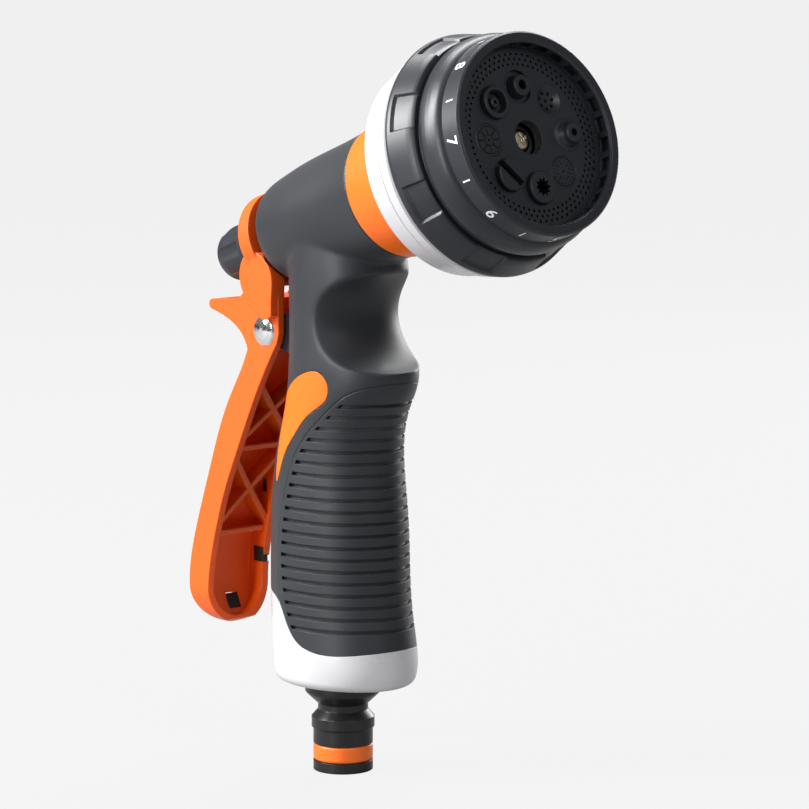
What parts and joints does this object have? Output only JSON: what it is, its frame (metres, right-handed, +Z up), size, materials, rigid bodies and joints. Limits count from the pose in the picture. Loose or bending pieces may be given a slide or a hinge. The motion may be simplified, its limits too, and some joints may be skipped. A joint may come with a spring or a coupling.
{
  "type": "hose spray nozzle",
  "caption": "Pistol-shaped hose spray nozzle with a rear trigger, a ribbed grip, a flow knob and a round turning dial of spray patterns.",
  "frame": {"origin": "centre of the hose connector's tip", "axes": "+Z up along the connector and the grip, +X the way the water leaves, +Y to the user's left"},
  "size_m": [0.1359, 0.0622, 0.1962],
  "materials": {
    "soft_grey": "soft-touch matte",
    "grip_rubber": "ribbed matte",
    "pale_plastic": "gloss",
    "orange_rubber": "satin",
    "orange_plastic": "satin",
    "orange_seal": "satin",
    "black_plastic": "satin",
    "black_rubber": "matte",
    "spring_steel": "bright",
    "screw_brass": "polished",
    "dial_grey": "fine satin",
    "bright_pin": "polished"
  },
  "bodies": {
    "handle": {"body_shell": "soft_grey", "grip_sleeve": "grip_rubber", "base_cap": "pale_plastic", "inlay_left": "orange_rubber", "inlay_right": "orange_rubber", "hose_connector": "black_plastic", "hose_seal": "orange_seal", "rear_gland": "black_plastic", "stem_seals": "black_rubber", "valve_seat": "black_rubber", "valve_spring": "spring_steel", "neck_ring": "orange_rubber", "head_flange": "pale_plastic", "distributor": "black_plastic", "neck_seal": "black_rubber", "port_seal": "black_rubber", "detent_spring": "spring_steel", "detent_ball": "spring_steel", "dial_screw": "screw_brass", "dial_washer": "spring_steel"},
    "dial": {"port_plate": "black_plastic", "dial_ring": "dial_grey", "dial_bezel": "dial_grey", "spray_disc": "dial_grey", "spray_jet": "dial_grey", "spray_shower": "dial_grey", "spray_cone": "dial_grey", "spray_mist": "dial_grey", "spray_soaker": "dial_grey", "spray_flat": "dial_grey", "spray_wheel": "dial_grey", "spray_angle": "dial_grey"},
    "lever": {"trigger_lever": "orange_plastic", "pivot_pin": "bright_pin", "pin_cap": "bright_pin"},
    "stem": {"valve_stem": "screw_brass", "valve_plug": "black_rubber"},
    "knob": {"flow_knob": "dial_grey", "thrust_washer": "black_plastic"}
  },
  "joints": [
    {"name": "lever_pivot", "type": "hinge", "parent": "handle", "child": "lever", "pos_m": [-0.021, 0, 0.115], "axis": [0, -1, 0], "range_deg": [0, 14], "stiffness_Nm_per_rad": 0.6, "springref_deg": -5.73},
    {"name": "stem_slide", "type": "slide", "parent": "handle", "child": "stem", "axis": [-0.9494, 0, -0.314], "range_m": [0, 0.0085], "deforming": ["valve_spring"]},
    {"name": "knob_turn", "type": "hinge", "parent": "stem", "child": "knob", "pos_m": [-0.03798, 0, 0.13424], "axis": [0.9494, 0, 0.314], "range_deg": [-360, 360]},
    {"name": "dial_turn", "type": "hinge", "parent": "handle", "child": "dial", "pos_m": [0.05697, 0, 0.16564], "axis": [0.9494, 0, 0.314], "continuous": true}
  ],
  "couplings": [
    {"joint": "stem_slide", "follows": "lever_pivot", "m_per_rad": 0.029}
  ]
}
